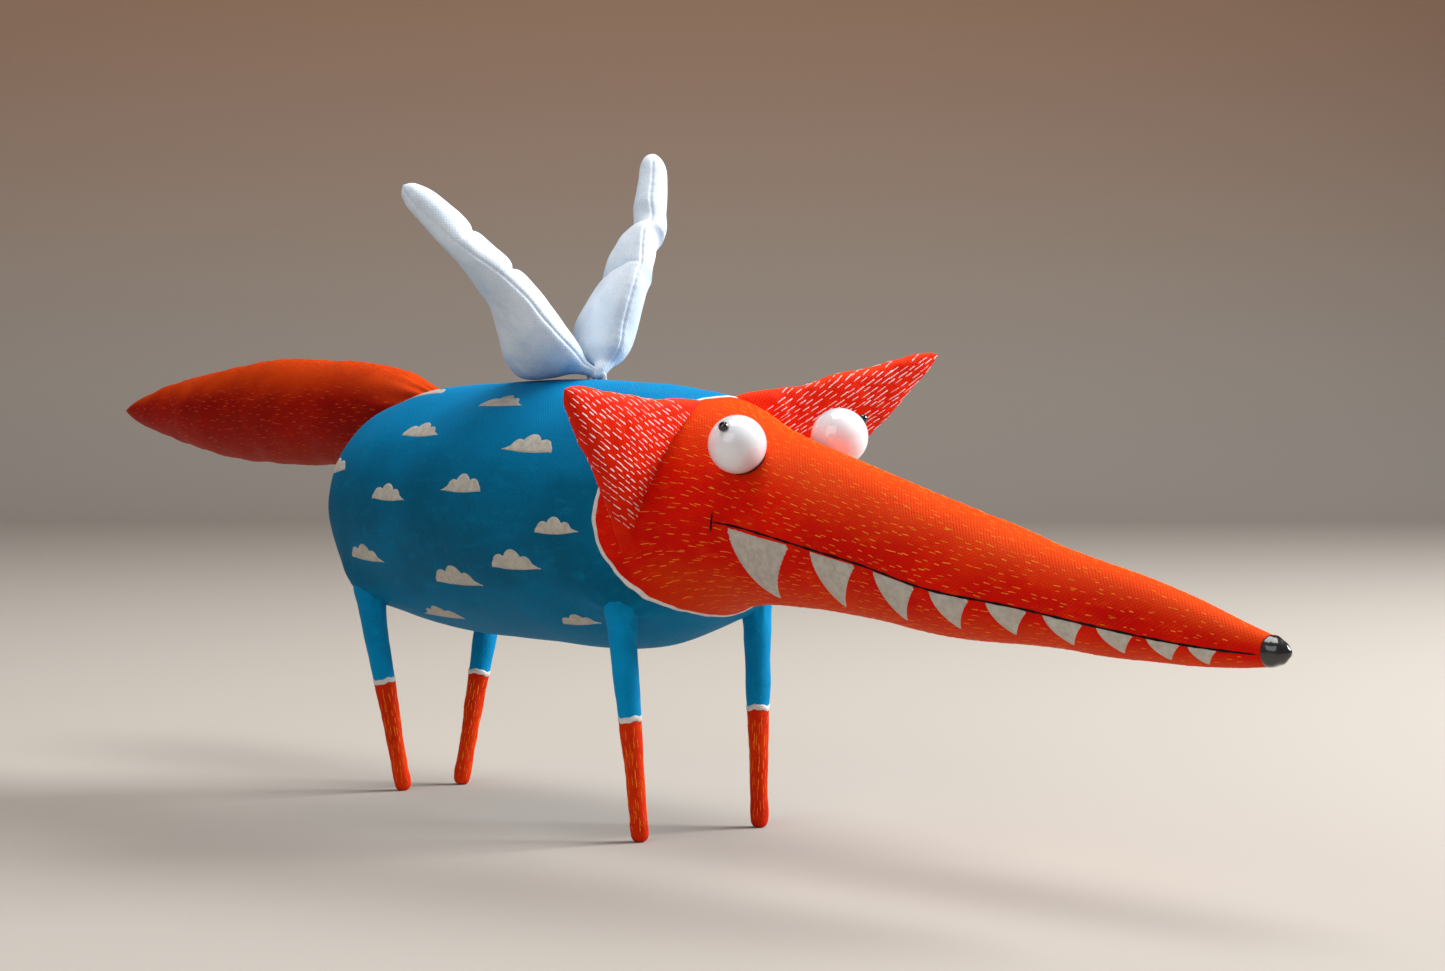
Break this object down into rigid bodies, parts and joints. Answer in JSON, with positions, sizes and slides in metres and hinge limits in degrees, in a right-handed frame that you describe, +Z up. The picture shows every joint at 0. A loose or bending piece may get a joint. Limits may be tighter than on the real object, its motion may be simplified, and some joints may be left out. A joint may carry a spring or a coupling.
{
  "type": "stuffed cloth animal figure",
  "caption": "Standing stuffed cloth figure of a long-snouted wolf with wings, a barrel body on thin wired legs, bead eyes and a level bushy tail, for display on a shelf",
  "frame": {"origin": "on the ground under the middle of the bounding box", "axes": "+X towards the nose, +Y to the figure's left, +Z up"},
  "size_m": [0.406, 0.1037, 0.1485],
  "materials": {
    "blue_cloth": "calico painted blue in matt acrylic, dry-brushed so the weave shows, with off-white clouds",
    "red_cloth": "calico painted red-orange in satin acrylic, with fine yellow dashes along the form",
    "white_cloth": "calico painted off-white, satin, blue-grey in the folds",
    "leg_cloth": "thin calico tube painted blue above, off-white band, red-orange below with yellow dashes",
    "eye_bead": "glossy off-white bead",
    "pupil_bead": "glossy black seed bead",
    "nose_gloss": "glossy black lacquer over modelled clay",
    "fibre_stuffing": "loose white fibre",
    "cream_paint": "off-white acrylic brushed on thickly: the clouds, the teeth and the leg bands",
    "yellow_paint": "orange-yellow acrylic in fine dashes on head, tail and feet",
    "pink_paint": "pinkish white acrylic in fine dashes on both ears",
    "black_paint": "black acrylic line of the mouth",
    "thread": "waxed cotton thread",
    "wire": "soft steel wire"
  },
  "bodies": {
    "root": {"body_cover": "blue_cloth", "body_stuffing": "fibre_stuffing", "neck_seam": "white_cloth", "head_cover": "red_cloth", "head_stuffing": "fibre_stuffing", "nose_tip": "nose_gloss", "tail_cover": "red_cloth", "tail_stuffing": "fibre_stuffing", "tail_wire": "wire", "wing_root_stitches": "thread", "front_leg_wire": "wire", "rear_leg_wire": "wire", "right_eye_thread": "thread", "right_ear_cover": "red_cloth", "right_ear_stuffing": "fibre_stuffing", "front_right_leg_cover": "leg_cloth", "front_right_leg_stuffing": "fibre_stuffing", "rear_right_leg_cover": "leg_cloth", "rear_right_leg_stuffing": "fibre_stuffing", "left_eye_thread": "thread", "left_ear_cover": "red_cloth", "left_ear_stuffing": "fibre_stuffing", "front_left_leg_cover": "leg_cloth", "front_left_leg_stuffing": "fibre_stuffing", "rear_left_leg_cover": "leg_cloth", "rear_left_leg_stuffing": "fibre_stuffing"},
    "right_eye": {"right_eye_bead": "eye_bead", "right_pupil_bead": "pupil_bead"},
    "right_wing": {"right_wing_cover": "white_cloth", "right_wing_stuffing": "fibre_stuffing"},
    "left_eye": {"left_eye_bead": "eye_bead", "left_pupil_bead": "pupil_bead"},
    "left_wing": {"left_wing_cover": "white_cloth", "left_wing_stuffing": "fibre_stuffing"}
  },
  "joints": [
    {"name": "right_eye_swivel", "type": "hinge", "parent": "root", "child": "right_eye", "pos_m": [0.07235, -0.014, 0.08371], "axis": [0.2571, -0.7853, 0.5632], "continuous": true},
    {"name": "right_wing_flap", "type": "hinge", "parent": "root", "child": "right_wing", "pos_m": [0.00805, 0, 0.0982], "axis": [1, 0, 0], "range_deg": [-4, 2], "stiffness_Nm_per_rad": 0.03},
    {"name": "left_eye_swivel", "type": "hinge", "parent": "root", "child": "left_eye", "pos_m": [0.07235, 0.014, 0.08499], "axis": [0.2571, 0.7853, 0.5632], "continuous": true},
    {"name": "left_wing_flap", "type": "hinge", "parent": "root", "child": "left_wing", "pos_m": [0.00805, 0, 0.0982], "axis": [-1, 0, 0], "range_deg": [-4, 12], "stiffness_Nm_per_rad": 0.03}
  ]
}
